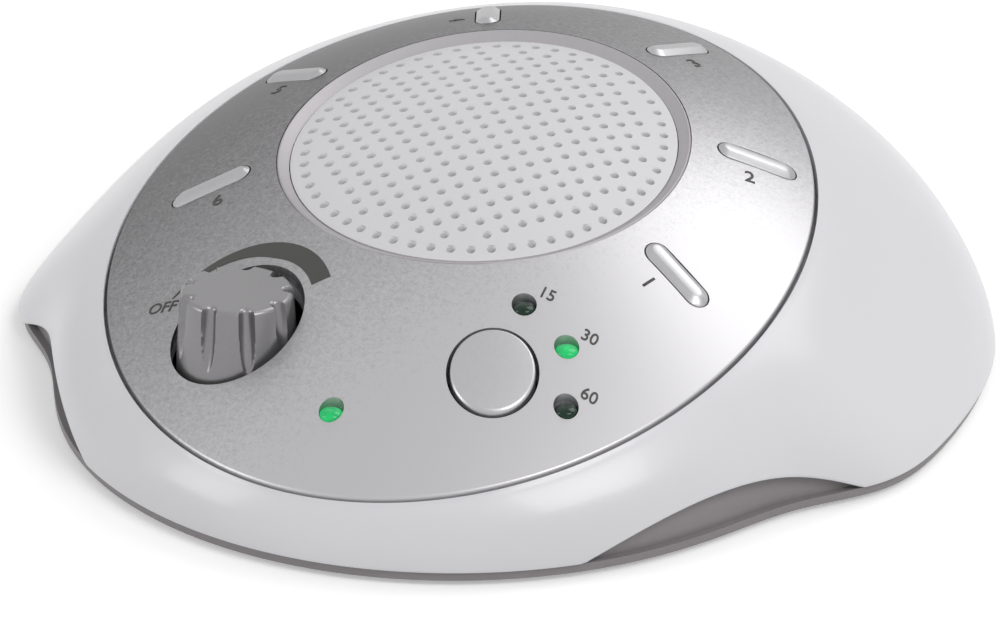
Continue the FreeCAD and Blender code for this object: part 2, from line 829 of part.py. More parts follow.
def speaker_frame():
    top = -speaker_drop
    flange = cylinder(speaker_radius, top - speaker_flange, top)
    ears = []
    for angle in (0, 90):
        reach = speaker_ear_radius + speaker_ear_width / 2
        ear = box(-reach, reach, -speaker_ear_width / 2, speaker_ear_width / 2, top - speaker_flange, top)
        ear.rotate(vector(0, 0, 0), up, angle)
        ears.append(ear)
    basket_low = top - speaker_depth + magnet_height
    basket = cone(magnet_radius, speaker_opening + basket_wall, basket_low, top - speaker_flange)
    frame = flange.multiFuse(ears + [basket])
    hollow = cone(magnet_radius - basket_wall, speaker_opening, basket_low + basket_wall, top - speaker_flange)
    mouth = cylinder(speaker_opening, top - speaker_flange, top + 1)
    cuts = [hollow, mouth, cylinder(cone_neck, basket_low - 1, top)]
    for angle in (45, 135, 225, 315):
        window = box(magnet_radius + 1, speaker_opening + 4, -5, 5, basket_low + 1.5, top - speaker_flange - 1)
        window.rotate(vector(0, 0, 0), up, angle)
        cuts.append(window)
    for angle in (0, 90, 180, 270):
        a = math.radians(angle)
        cuts.append(cylinder(screw_radius + screw_gap, top - 5, top + 1, speaker_ear_radius * math.cos(a),
                             speaker_ear_radius * math.sin(a)))
    return on_tilt(frame.cut(cuts))


def speaker_magnet():
    low = -speaker_drop - speaker_depth
    return on_tilt(cylinder(magnet_radius, low, low + magnet_height))


def speaker_cone():
    """Paper cone with its dust cap, as one revolved skin."""
    top = -speaker_drop - 0.3
    low = -speaker_drop - speaker_depth + magnet_height + basket_wall + cone_wall + 0.4
    rim = speaker_opening - 0.6
    neck = cone_neck - 0.6
    points = [(0, low + 3.0), (neck * 0.6, low + 2.2), (neck, low), (rim - 4, top - 1.0), (rim - 2, top),
              (rim, top - 0.3)]
    upper = [vector(r, 0, z) for r, z in points]
    lower = [vector(r, 0, z - cone_wall) for r, z in reversed(points)]
    wire = Part.makePolygon(upper + lower + [upper[0]])
    body = Part.Face(wire).revolve(vector(0, 0, 0), up, 360)
    return on_tilt(body)


def speaker_gasket():
    under = -grille_depth - grille_thickness
    inner = grille_radius - grille_collar - 0.4
    ring = cylinder(inner, 0, high, 0, grille_y).cut(cylinder(speaker_opening, 0, high, 0, grille_y))
    ring = ring.common(dome_slab(-high, under - running_gap))
    slab = on_tilt(box(-high, high, -high, high, -speaker_drop, high))
    return ring.common(slab)


def speaker_screws():
    seat = -speaker_drop - speaker_flange
    return [tilted_screw(seat, speaker_ear_radius, angle) for angle in (0, 90, 180, 270)]


# Power and cells

def dc_jack():
    face = port_face - port_wall - jack_gap
    half = jack_width / 2
    body = box(-half, half, face - jack_length, face, port_height - jack_height / 2,
               port_height + jack_height / 2)
    bore = Part.makeCylinder(port_radius - 0.7, jack_length - 2, vector(0, face - jack_length + 2, port_height),
                             vector(0, 1, 0))
    pin = Part.makeCylinder(jack_pin_radius, jack_length - 3, vector(0, face - jack_length + 1, port_height),
                            vector(0, 1, 0))
    return body.cut(bore).fuse(pin)


def cell_places():
    return [(cell_pitch * (i - (cell_count - 1) / 2), 1 if i % 2 else -1) for i in range(cell_count)]


def aa_cells():
    cells = []
    z = floor_top + seam_gap + cell_radius
    for x, way in cell_places():
        start = vector(x, bay_centre_y - way * (cell_length + cell_nub_length) / 2, z)
        can = Part.makeCylinder(cell_radius, cell_length, start, vector(0, way, 0))
        nub = Part.makeCylinder(cell_nub_radius, cell_length + cell_nub_length, start, vector(0, way, 0))
        cells.append(can.fuse(nub))
    return cells


def battery_contacts():
    contacts = []
    z = floor_top + seam_gap + cell_radius
    half = contact_width / 2
    reach = (cell_length + cell_nub_length) / 2
    for x, way in cell_places():
        for side in (-1, 1):
            wall = bay_centre_y + side * bay_half_y
            near = min(wall, wall - side * contact_thickness)
            plate = box(x - half, x + half, near, near + contact_thickness, z - half, z + half)
            gap = abs(wall - (bay_centre_y + side * reach))
            spring = Part.makeCone(3.2, 2.2, gap, vector(x, wall, z), vector(0, -side, 0))
            contacts.append(plate.fuse(spring))
    return contacts


def export(name, shape):
    solids = shape if isinstance(shape, list) else [shape]
    flat = [solid.copy() for item in solids for solid in item.Solids]
    for solid in flat:
        solid.translate(vector(0, -origin_y, 0))
    whole = flat[0] if len(flat) == 1 else Part.makeCompound(flat)
    whole.exportStep("parts/%s.step" % name)


def main():
    os.makedirs("parts", exist_ok=True)
    export("top_housing", top_housing())
    export("bottom_housing", bottom_housing())
    export("battery_door", battery_door())
    export("rubber_feet", rubber_feet())
    export("housing_screws", housing_screws())
    export("face_panel", face_panel())
    export("grille_ring", grille_ring())
    export("speaker_grille", speaker_grille())
    export("speaker_gasket", speaker_gasket())
    export("speaker_frame", speaker_frame())
    export("speaker_cone", speaker_cone())
    export("speaker_magnet", speaker_magnet())
    export("speaker_screws", speaker_screws())
    export("main_board", main_board())
    export("key_board", key_board())
    export("board_screws", board_screws())
    export("key_switches", key_switches())
    export("timer_switch", timer_switch())
    export("timer_button", timer_button())
    for number, angle in enumerate(button_angles(), start=1):
        export("sound_button_%d" % number, sound_button(angle))
    for name, place in lamp_places().items():
        export(name, lamp(*place))
    export("volume_control", volume_control())
    export("volume_shaft", volume_shaft())
    export("volume_knob", volume_knob())
    export("dc_jack", dc_jack())
    export("battery_contacts", battery_contacts())
    export("aa_cells", aa_cells())


main()
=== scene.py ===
import math
import bmesh
import bpy
from mathutils import Matrix, Vector


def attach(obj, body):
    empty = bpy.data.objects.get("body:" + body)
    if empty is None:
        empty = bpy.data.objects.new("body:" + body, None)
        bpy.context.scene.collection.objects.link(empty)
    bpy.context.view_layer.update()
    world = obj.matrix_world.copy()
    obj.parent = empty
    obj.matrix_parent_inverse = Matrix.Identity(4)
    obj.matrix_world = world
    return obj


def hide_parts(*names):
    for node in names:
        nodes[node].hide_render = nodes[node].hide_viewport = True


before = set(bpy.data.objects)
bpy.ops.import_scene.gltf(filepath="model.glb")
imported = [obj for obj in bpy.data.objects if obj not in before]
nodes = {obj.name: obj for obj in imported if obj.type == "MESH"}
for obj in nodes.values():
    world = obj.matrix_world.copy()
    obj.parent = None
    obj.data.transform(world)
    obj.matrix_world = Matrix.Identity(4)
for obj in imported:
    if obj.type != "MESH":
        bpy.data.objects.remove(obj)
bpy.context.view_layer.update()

mm = 0.001
scene = bpy.context.scene


# Shader nodes from Python expressions

class Num:
    def __init__(self, tree, socket):
        self.tree = tree
        self.socket = socket

    def calc(self, operation, other, flipped=False):
        first, second = (other, self) if flipped else (self, other)
        return self.tree.add("ShaderNodeMath", {"operation": operation}, {0: first, 1: second})

    def __add__(self, other):
        return self.calc("ADD", other)

    def __sub__(self, other):
        return self.calc("SUBTRACT", other)

    def __mul__(self, other):
        return self.calc("MULTIPLY", other)

    def __rsub__(self, other):
        return self.calc("SUBTRACT", other, True)

    __radd__ = __add__
    __rmul__ = __mul__


class NodeSheet:
    def __init__(self, name):
        self.material = bpy.data.materials.new(name)
        self.material.use_nodes = True
        self.nodes = self.material.node_tree.nodes
        self.links = self.material.node_tree.links
        self.shader = self.nodes["Principled BSDF"]

    def add(self, kind, settings=None, sockets=None, out=0):
        node = self.nodes.new(kind)
        for key, value in (settings or {}).items():
            if key == "stops":
                setStops(node.color_ramp, value)
            else:
                setattr(node, key, value)
        for key, value in (sockets or {}).items():
            self.feed(node.inputs[key], value)
        return Num(self, node.outputs[out])

    def feed(self, socket, value):
        if isinstance(value, Num):
            self.links.new(value.socket, socket)
        else:
            socket.default_value = value

    def finish(self, **values):
        names = {"color": "Base Color", "roughness": "Roughness", "metallic": "Metallic", "normal": "Normal",
                 "coat": "Coat Weight", "coatRoughness": "Coat Roughness", "glow": "Emission Color",
                 "glowStrength": "Emission Strength", "specular": "Specular IOR Level"}
        for key, value in values.items():
            self.feed(self.shader.inputs[names[key]], value)
        return self.material


def setStops(ramp, stops):
    while len(ramp.elements) < len(stops):
        ramp.elements.new(0.5)
    for element, (place, color) in zip(ramp.elements, stops):
        element.position = place
        element.color = color


def gray(value, tint=(1.0, 1.0, 1.0)):
    return (value * tint[0], value * tint[1], value * tint[2], 1.0)


def objectNoise(sheet, scale, detail=2.0, roughness=0.5):
    coords = sheet.add("ShaderNodeTexCoord", out=3)
    sockets = {"Vector": coords, "Scale": scale, "Detail": detail, "Roughness": roughness}
    return sheet.add("ShaderNodeTexNoise", {}, sockets)


def bump(sheet, height, strength, distance):
    return sheet.add("ShaderNodeBump", {}, {"Height": height, "Strength": strength, "Distance": distance})


def ramp(sheet, value, stops):
    return sheet.add("ShaderNodeValToRGB", {"stops": stops}, {"Fac": value})


# Finishes

# The paintedShade values set the silver panel's painted shade: a colour gradient, dark at the back-left and
# light at the front-right.
grainSettings = {"cloudScale": 22.0, "shellDepth": 0.00004, "shellCoatRough": 0.12,
                 "metalCloud": 14.0, "coarseShare": 0.45, "flakeWeight": 0.65, "metalDepth": 0.00005,
                 "metalCoatRough": 0.2, "fadeAcross": 0.8, "fadeAlong": 0.6, "fadeStart": 0.06,
                 "mouldCloud": 35.0, "cloudWeight": 0.7, "mouldDepth": 0.00006, "mouldSwing": 0.12}
lensSettings = {"cloud": 500.0, "roughness": 0.08, "swing": 0.05, "coat": 0.15, "coatRough": 0.05,
                "specular": 0.25}


def objectPart(sheet, axis):
    coords = sheet.add("ShaderNodeTexCoord", out=3)
    return sheet.add("ShaderNodeSeparateXYZ", {}, {"Vector": coords}, out=axis)


def glossShell(name, low, high, grain):
    sheet = NodeSheet(name)
    g = grainSettings
    cloud = objectNoise(sheet, g["cloudScale"], 3.0)
    skin = objectNoise(sheet, grain["scale"], 2.0)
    color = ramp(sheet, cloud, [(0.3, low), (0.7, high)])
    rough = grain["roughness"] + (skin - 0.5) * grain["roughSwing"]
    normal = bump(sheet, skin, grain["bump"], g["shellDepth"])
    return sheet.finish(color=color, roughness=rough, normal=normal, coat=grain["coat"],
                        coatRoughness=g["shellCoatRough"])


def satinMetal(name, low, high, settings):
    sheet = NodeSheet(name)
    g = grainSettings
    flake = objectNoise(sheet, settings["flakeScale"], 3.0, 0.7)
    coarse = objectNoise(sheet, settings["flakeScale"] * g["coarseShare"], 2.0)
    mixed = flake * g["flakeWeight"] + coarse * (1 - g["flakeWeight"])
    # With a fade value the colour runs from dark at the back-left to light at the front-right along object X
    # and Y: painted shade, not a change in the metal.
    if "fade" in settings:
        across = objectPart(sheet, 0) * g["fadeAcross"] - objectPart(sheet, 1) * g["fadeAlong"]
        cloud = (across + g["fadeStart"]) * settings["fade"]
    else:
        cloud = objectNoise(sheet, g["metalCloud"], 2.0)
    body = ramp(sheet, mixed * settings["flakeShow"] + cloud * (1 - settings["flakeShow"]),
                [(0.32, low), (0.68, high)])
    rough = settings["roughness"] + (flake - 0.5) * settings["roughSwing"]
    normal = bump(sheet, mixed, settings["bump"], g["metalDepth"])
    return sheet.finish(color=body, roughness=rough, metallic=settings["metallic"], normal=normal,
                        coat=settings.get("coat", 0.0), coatRoughness=g["metalCoatRough"])


def plainMould(name, low, high, roughness, scale=900.0, strength=0.25):
    sheet = NodeSheet(name)
    g = grainSettings
    grain = objectNoise(sheet, scale, 3.0)
    cloud = objectNoise(sheet, g["mouldCloud"], 2.0)
    color = ramp(sheet, cloud * g["cloudWeight"] + grain * (1 - g["cloudWeight"]), [(0.3, low), (0.7, high)])
    normal = bump(sheet, grain, strength, g["mouldDepth"])
    return sheet.finish(color=color, roughness=roughness + (grain - 0.5) * g["mouldSwing"], normal=normal)


def lampLens(name, dark, bright, glow):
    sheet = NodeSheet(name)
    s = lensSettings
    cloud = objectNoise(sheet, s["cloud"], 2.0)
    color = ramp(sheet, cloud, [(0.3, dark), (0.75, bright)])
    return sheet.finish(color=color, roughness=s["roughness"] + (cloud - 0.5) * s["swing"], coat=s["coat"],
                        coatRoughness=s["coatRough"], specular=s["specular"], glow=color, glowStrength=glow)


finishes = {
    "whiteShell": glossShell("whiteShell", gray(0.74, (1, 0.995, 1.03)), gray(0.78, (1, 0.995, 1.03)),
                             {"scale": 1400.0, "roughness": 0.30, "roughSwing": 0.06, "bump": 0.10,
                              "coat": 0.25}),
    "whiteGrille": glossShell("whiteGrille", gray(0.72, (1, 0.99, 1.01)), gray(0.76, (1, 0.99, 1.01)),
                              {"scale": 1800.0, "roughness": 0.45, "roughSwing": 0.08, "bump": 0.15,
                               "coat": 0.0}),
    # The bottom housing's dark warm grey stands in for white plastic in the shade under the shell's lip:
    # painted shade. The battery door shares this colour.
    "taupeBase": plainMould("taupeBase", gray(0.24, (1.04, 0.97, 1)), gray(0.28, (1.04, 0.97, 1)), 0.5),
    # The silver panel's dark low colour and its fade value paint shade across the panel, darker towards the
    # back-left.
    "silverPanel": satinMetal("silverPanel", gray(0.13, (1, 0.97, 1)), gray(0.46, (1, 0.985, 1.01)),
                              {"flakeScale": 2600.0, "flakeShow": 0.45, "roughness": 0.40, "roughSwing": 0.16,
                               "bump": 0.10, "metallic": 0.85, "fade": 9.0}),
    "silverRing": satinMetal("silverRing", gray(0.38, (1, 0.96, 1)), gray(0.44, (1, 0.96, 1)),
                             {"flakeScale": 2200.0, "flakeShow": 0.4, "roughness": 0.5, "roughSwing": 0.1,
                              "bump": 0.06, "metallic": 0.45}),
    "silverButton": satinMetal("silverButton", gray(0.38, (1, 0.985, 1.01)), gray(0.46, (1, 0.985, 1.01)),
                               {"flakeScale": 2600.0, "flakeShow": 0.35, "roughness": 0.36, "roughSwing": 0.06,
                                "bump": 0.03, "metallic": 0.9}),
    "knobSilver": satinMetal("knobSilver", gray(0.22, (1, 0.97, 1)), gray(0.27, (1, 0.97, 1)),
                             {"flakeScale": 2000.0, "flakeShow": 0.3, "roughness": 0.33, "roughSwing": 0.04,
                              "bump": 0.015, "metallic": 0.7, "coat": 0.2}),
    "lampLit": lampLens("lampLit", (0.0, 0.26, 0.07, 1), (0.01, 0.44, 0.12, 1), 0.7),
    "lampDark": lampLens("lampDark", (0.0, 0.012, 0.005, 1), (0.0, 0.035, 0.016, 1), 0.0),
    "darkInk": plainMould("darkInk", gray(0.045, (1, 1.02, 0.92)), gray(0.055, (1, 1.02, 0.92)), 0.55),
    "blackMould": plainMould("blackMould", gray(0.012), gray(0.02), 0.55),
    "blackRubber": plainMould("blackRubber", gray(0.02), gray(0.035), 0.75, 1600.0, 0.5),
    "zincSteel": satinMetal("zincSteel", gray(0.5), gray(0.62),
                            {"flakeScale": 900.0, "flakeShow": 0.5, "roughness": 0.35, "roughSwing": 0.15,
                             "bump": 0.1, "metallic": 1.0}),
    "boardGreen": plainMould("boardGreen", (0.01, 0.08, 0.03, 1), (0.02, 0.12, 0.05, 1), 0.4),
    "ferrite": plainMould("ferrite", gray(0.03), gray(0.05), 0.6),
    "blackPaper": plainMould("blackPaper", gray(0.012), gray(0.02), 0.85, 1200.0, 0.6),
    "cellSleeve": plainMould("cellSleeve", (0.03, 0.08, 0.2, 1), (0.05, 0.1, 0.25, 1), 0.3),
}

nodeFinish = {
    "bottom_housing": "taupeBase", "battery_door": "taupeBase", "rubber_feet": "blackRubber",
    "housing_screws": "zincSteel", "speaker_gasket": "blackPaper", "speaker_frame": "zincSteel",
    "speaker_cone": "blackPaper", "speaker_magnet": "ferrite", "speaker_screws": "zincSteel",
    "main_board": "boardGreen", "key_board": "boardGreen", "board_screws": "zincSteel",
    "key_switches": "blackMould", "timer_switch": "blackMould", "volume_control": "zincSteel",
    "volume_shaft": "zincSteel", "dc_jack": "blackMould", "battery_contacts": "zincSteel",
    "aa_cells": "cellSleeve",
}
for nodeName, finishName in nodeFinish.items():
    nodes[nodeName].data.materials.clear()
    nodes[nodeName].data.materials.append(finishes[finishName])
print("finishes ready")


# The dome that the panel, grille and buttons follow

dome = {"height": 45.5 * mm, "centreY": 9.1 * mm, "tilt": math.tan(math.radians(9.2)),
        "radiusX": 95.0 * mm, "radiusY": 117.0 * mm, "skew": 4.6, "slopeStep": 0.1 * mm}


def domeZ(x, y):
    v = y - dome["centreY"]
    sag = x * x / (2 * dome["radiusX"]) + v * v / (2 * dome["radiusY"])
    return dome["height"] + dome["tilt"] * v - sag - dome["skew"] * v * (x * x + v * v)


def domeNormal(x, y):
    step = dome["slopeStep"]
    slopeX = (domeZ(x + step, y) - domeZ(x - step, y)) / (2 * step)
    slopeY = (domeZ(x, y + step) - domeZ(x, y - step)) / (2 * step)
    return Vector((-slopeX, -slopeY, 1)).normalized()


def onDome(x, y, lift=0.0):
    return Vector((x, y, domeZ(x, y) + lift))


# Pieces are drawn about the panel's centre, and settle moves them to the frame's origin

originShift = {"y": 4.7 * mm}


def settle(piece, body, slotName, *replaced):
    piece.data.transform(Matrix.Translation((0, -originShift["y"], 0)))
    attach(piece, body)
    if replaced:
        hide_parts(*replaced)


# Mesh helpers

def addPiece(name, verts, faces, finish, smoothDeg=35):
    mesh = bpy.data.meshes.new(name)
    mesh.from_pydata([tuple(v) for v in verts], [], faces)
    mesh.update()
    piece = bpy.data.objects.new(name, mesh)
    scene.collection.objects.link(piece)
    mesh.materials.append(finishes[finish])
    shadeSmooth(mesh, smoothDeg)
    return piece


def shadeSmooth(mesh, smoothDeg):
    mesh.shade_smooth()
    mesh.set_sharp_from_angle(angle=math.radians(smoothDeg))


def weave(rings, closedAlong=False, caps=False):
    verts = [point for ring in rings for point in ring]
    size = len(rings[0])
    faces = []
    last = len(rings) if closedAlong else len(rings) - 1
    for i in range(last):
        a = i * size
        b = ((i + 1) % len(rings)) * size
        for j in range(size):
            k = (j + 1) % size
            faces.append((a + j, a + k, b + k, b + j))
    if caps:
        faces.append(tuple(reversed(range(size))))
        faces.append(tuple((len(rings) - 1) * size + j for j in range(size)))
    return verts, faces


def outwards(piece):
    shape = bmesh.new()
    shape.from_mesh(piece.data)
    bmesh.ops.recalc_face_normals(shape, faces=shape.faces)
    shape.to_mesh(piece.data)
    shape.free()


def baked(piece, smoothDeg):
    graph = bpy.context.evaluated_depsgraph_get()
    mesh = bpy.data.meshes.new_from_object(piece.evaluated_get(graph))
    piece.modifiers.clear()
    old = piece.data
    piece.data = mesh
    bpy.data.meshes.remove(old)
    shadeSmooth(mesh, smoothDeg)
    return piece


def cutBy(piece, cutters, smoothDeg=30):
    group = bpy.data.collections.new(piece.name + "Cutters")
    scene.collection.children.link(group)
    for cutter in cutters:
        outwards(cutter)
        scene.collection.objects.unlink(cutter)
        group.objects.link(cutter)
    modifier = piece.modifiers.new("openings", "BOOLEAN")
    modifier.operation = "DIFFERENCE"
    modifier.operand_type = "COLLECTION"
    modifier.collection = group
    modifier.solver = "EXACT"
    baked(piece, smoothDeg)
    for cutter in cutters:
        bpy.data.objects.remove(cutter)
    bpy.data.collections.remove(group)


def circleOutline(x, y, radius, count):
    return [(x + radius * math.cos(2 * math.pi * i / count), y + radius * math.sin(2 * math.pi * i / count))
            for i in range(count)]


def barOutline(inner, outer, width, angleDeg, inset=0.0):
    count = layout["barEndSteps"]
    half = width / 2 - inset
    angle = math.radians(angleDeg)
    points = []
    for end, start in ((outer - width / 2, -90), (inner + width / 2, 90)):
        for i in range(count + 1):
            turn = math.radians(start + 180 * i / count)
            along = end + half * math.cos(turn)
            across = half * math.sin(turn)
            points.append((along * math.cos(angle) - across * math.sin(angle),
                           dome["centreY"] + along * math.sin(angle) + across * math.cos(angle)))
    return points


def prismCutter(outline, low, high):
    verts, faces = weave([[Vector((x, y, z)) for x, y in outline] for z in (low, high)], caps=True)
    return addPiece("cutter", verts, faces, "blackMould")


# Layout shared by the panel and what sits in it

layout = {
    "panelX": 55.3 * mm, "panelY": 63.7 * mm, "panelThick": 1.2 * mm, "panelGap": 0.5 * mm,
    "deckThick": 2.2 * mm, "ringRadius": 33.35 * mm,
    "barInner": 37.6 * mm, "barOuter": 50.1 * mm, "barWidth": 3.9 * mm, "barGap": 0.2 * mm,
    "barFirst": -22.5, "barStep": 45.0, "barCount": 6,
    "controlX": 22.0 * mm, "controlY": -38.3 * mm, "timerRadius": 7.15 * mm, "knobHole": 10.7 * mm,
    "lampRing": 12.5 * mm, "lampRadius": 1.9 * mm, "powerY": -51.2 * mm, "lampStepDeg": 45,
    "lampGap": 0.1 * mm, "timerGap": 0.2 * mm, "cutLow": 0.0, "cutHigh": 80.0 * mm,
    "barEndSteps": 12, "controlSides": 96, "lampSides": 40,
}
barAngles = [layout["barFirst"] + layout["barStep"] * i for i in range(layout["barCount"])]
lampPlaces = {"power_lamp": (0.0, layout["powerY"])}
for lampIndex, minutes in enumerate((60, 30, 15)):
    lampTurn = math.radians(layout["lampStepDeg"] * lampIndex)
    lampPlaces["timer_lamp_%d" % minutes] = (layout["controlX"] + layout["lampRing"] * math.cos(lampTurn),
                                             layout["controlY"] + layout["lampRing"] * math.sin(lampTurn))


def openingCutters():
    gap = layout["barGap"]
    inner, outer, width = layout["barInner"] - gap, layout["barOuter"] + gap, layout["barWidth"] + 2 * gap
    outlines = [barOutline(inner, outer, width, angle) for angle in barAngles]
    for x, y in lampPlaces.values():
        outlines.append(circleOutline(x, y, layout["lampRadius"] + layout["lampGap"], layout["lampSides"]))
    for x, radius in ((layout["controlX"], layout["timerRadius"] + layout["timerGap"]),
                      (-layout["controlX"], layout["knobHole"])):
        outlines.append(circleOutline(x, layout["controlY"], radius, layout["controlSides"]))
    return [prismCutter(outline, layout["cutLow"], layout["cutHigh"]) for outline in outlines]


def ellipsePoint(halfX, halfY, angle):
    radius = 1 / math.sqrt((math.cos(angle) / halfX) ** 2 + (math.sin(angle) / halfY) ** 2)
    return radius * math.cos(angle), radius * math.sin(angle)


# Face panel and the deck under it

panelSettings = {"around": 288, "across": 26, "edge": 0.25 * mm, "edgeBulge": 0.3, "facingUp": 0.4,
                 "near": 0.02 * mm}


def domePlate(name, halfX, halfY, top, low, edge, finish):
    count = panelSettings["around"]
    steps = panelSettings["across"]
    bulge = panelSettings["edgeBulge"]
    sections = []
    for i in range(count):
        angle = 2 * math.pi * i / count
        holeX = layout["ringRadius"] * math.cos(angle)
        holeY = dome["centreY"] + layout["ringRadius"] * math.sin(angle)
        rimX, rimY = ellipsePoint(halfX, halfY, math.atan2(holeY, holeX))
        ring = []
        for j in range(steps):
            t = j / steps
            x = holeX + (rimX - holeX) * t
            y = holeY + (rimY - holeY) * t
            ring.append(onDome(x, y, top))
        for share, drop in ((1, 0), (bulge, bulge * edge)):
            shrink = 1 - share * edge / halfX
            ring.append(onDome(rimX * shrink, rimY * shrink, top - drop))
        ring.append(onDome(rimX, rimY, top - edge))
        ring.append(onDome(rimX, rimY, low))
        ring.append(onDome(holeX, holeY, low))
        sections.append(ring)
    verts, faces = weave(sections, closedAlong=True)
    plate = addPiece(name, verts, faces, finish)
    outwards(plate)
    return plate


def domeShade(piece, lift):
    mesh = piece.data
    normals = []
    for loop in mesh.loops:
        normals.append(Vector(mesh.corner_normals[loop.index].vector))
    for face in mesh.polygons:
        if face.normal.z < panelSettings["facingUp"]:
            continue
        for index in face.loop_indices:
            place = mesh.vertices[mesh.loops[index].vertex_index].co
            if abs(place.z - domeZ(place.x, place.y) - lift) < panelSettings["near"]:
                normals[index] = domeNormal(place.x, place.y)
    mesh.normals_split_custom_set(normals)


panel = domePlate("facePanel", layout["panelX"], layout["panelY"], 0.0, -layout["panelThick"],
                  panelSettings["edge"], "silverPanel")
cutBy(panel, openingCutters())
domeShade(panel, 0.0)
settle(panel, "housing", "silver_panel", "face_panel")
print("panel done")


# Housing skirt, from the table outline up to the dome's rim

shellSettings = {
    "noseX": 66.0 * mm, "noseY": 67.3 * mm, "baseX": 79.9 * mm, "baseY": 76.7 * mm, "square": 3.16,
    "shoulder": -8.6, "blend": 4.0, "noseHandles": (1.1, 0.125), "sideHandles": (0.378, 0.1),
    "backHandles": (1.1, 1.08), "edgeHeight": 2.6 * mm, "wall": 1.8 * mm, "lip": 0.35 * mm,
    "archChord": 51.1 * mm, "archRise": 6.1 * mm, "archAngle": 27.4, "archDepth": 30.0 * mm,
    "around": 400, "levels": 36, "portHeight": 10.5 * mm, "portRadius": 3.5 * mm, "padRadius": 5.5 * mm,
    "portFace": 75.6 * mm, "groove": 2.9 * mm, "rimInset": 2.0 * mm, "grooveShare": 0.93, "liningDrop": 1.2,
    "liningFrom": 0.02, "liningReach": 0.75, "liningSteps": 8, "deckShare": 0.965, "deckGap": 0.02 * mm,
    "deckEdge": 0.1 * mm, "smooth": 40, "lipBulge": 0.3,
    "footSearch": (0.0, 0.6), "rimSearch": (0.3, 1.0), "portSides": 48, "cutFrom": 70.0 * mm,
    "cutTo": 85.0 * mm,
}


def baseShare(angle):
    turn = math.degrees(math.atan2(math.sin(angle), abs(math.cos(angle))))
    return 1 / (1 + math.exp(-(turn - shellSettings["shoulder"]) / shellSettings["blend"]))


def tableOutline(angle):
    s = shellSettings
    noseX, noseY = ellipsePoint(s["noseX"], s["noseY"], angle)
    nose = math.hypot(noseX, noseY)
    across = abs(math.cos(angle) / s["baseX"]) ** s["square"]
    along = abs(math.sin(angle) / s["baseY"]) ** s["square"]
    radius = nose + ((across + along) ** (-1 / s["square"]) - nose) * baseShare(angle)
    return Vector((radius * math.cos(angle), radius * math.sin(angle), 0))


def skirtHandles(angle):
    base = baseShare(angle)
    back = max(math.sin(angle), 0.0) ** 2 * base
    s = shellSettings
    return [nose + (side - nose) * base + (rear - side) * back
            for nose, side, rear in zip(s["noseHandles"], s["sideHandles"], s["backHandles"])]


def skirtProfile(angle):
    inset = layout["panelGap"] - shellSettings["rimInset"]
    rimX, rimY = ellipsePoint(layout["panelX"] + inset, layout["panelY"] + inset, angle)
    rim = onDome(rimX, rimY)
    foot = tableOutline(angle)
    foot.z = shellSettings["edgeHeight"]
    flat = Vector((foot.x - rim.x, foot.y - rim.y, 0))
    reach = flat.length
    outward = flat.normalized()
    slope = (domeZ(rim.x + outward.x * mm, rim.y + outward.y * mm) - rim.z) / mm
    crown, upright = skirtHandles(angle)
    nearRim = rim + (outward + Vector((0, 0, slope))) * (crown * reach)
    nearFoot = foot + Vector((0, 0, upright * (nearRim.z - foot.z)))

    def at(t):
        s = 1 - t
        return foot * s ** 3 + nearFoot * (3 * s * s * t) + nearRim * (3 * s * t * t) + rim * t ** 3
    return at


def archHeight(x, y):
    chord = shellSettings["archChord"]
    rise = shellSettings["archRise"]
    radius = ((chord / 2) ** 2 + rise ** 2) / (2 * rise)
    best = shellSettings["edgeHeight"]
    for angleDeg in (-shellSettings["archAngle"], 180 + shellSettings["archAngle"]):
        angle = math.radians(angleDeg)
        along = x * math.cos(angle) + y * math.sin(angle)
        across = -x * math.sin(angle) + y * math.cos(angle)
        if along > shellSettings["archDepth"] and abs(across) < radius:
            arc = math.sqrt(radius ** 2 - across ** 2) - radius
            best = max(best, shellSettings["edgeHeight"] + rise + arc)
    return best


def solveRising(test, low, high):
    for _ in range(30):
        middle = (low + high) / 2
        if test(middle):
            high = middle
        else:
            low = middle
    return (low + high) / 2


def shellSection(angle):
    s = shellSettings
    recessX = layout["panelX"] + layout["panelGap"]
    recessY = layout["panelY"] + layout["panelGap"]
    at = skirtProfile(angle)
    foot = at(0)
    lowest = archHeight(foot.x, foot.y)
    lip = s["lip"]
    first = solveRising(lambda t: at(t).z >= lowest + lip, *s["footSearch"])

    def underRim(t):
        point = at(t)
        return (point.x / (recessX + lip)) ** 2 + (point.y / (recessY + lip)) ** 2 <= 1

    last = solveRising(underRim, *s["rimSearch"])
    inward = Vector((-foot.x, -foot.y, 0)).normalized()
    start = at(first)
    bulge = s["lipBulge"]
    section = [start + inward * lip + Vector((0, 0, -lip)),
               start + inward * (bulge * lip) + Vector((0, 0, (bulge - 1) * lip))]
    levels = s["levels"]
    for i in range(levels + 1):
        section.append(at(first + (last - first) * i / levels))
    rimX, rimY = ellipsePoint(recessX, recessY, math.atan2(section[-1].y, section[-1].x))
    end = section[-1]
    section.append(Vector(((end.x + 2 * rimX) / 3, (end.y + 2 * rimY) / 3, domeZ(rimX, rimY) - bulge * lip)))
    section.append(onDome(rimX, rimY, -lip))
    section.append(onDome(rimX, rimY, -s["groove"]))
    innerX, innerY = rimX * s["grooveShare"], rimY * s["grooveShare"]
    section.append(onDome(innerX, innerY, -s["groove"]))
    section.append(onDome(innerX, innerY, -layout["panelThick"] - layout["deckThick"]))
    wall = s["wall"]
    for i in range(s["liningSteps"], -1, -1):
        t = first + (last - first) * (s["liningFrom"] + s["liningReach"] * i / s["liningSteps"])
        section.append(at(t) + inward * wall + Vector((0, 0, -wall * s["liningDrop"] * t)))
    section[-1] = start + inward * wall + Vector((0, 0, -lip))
    return section


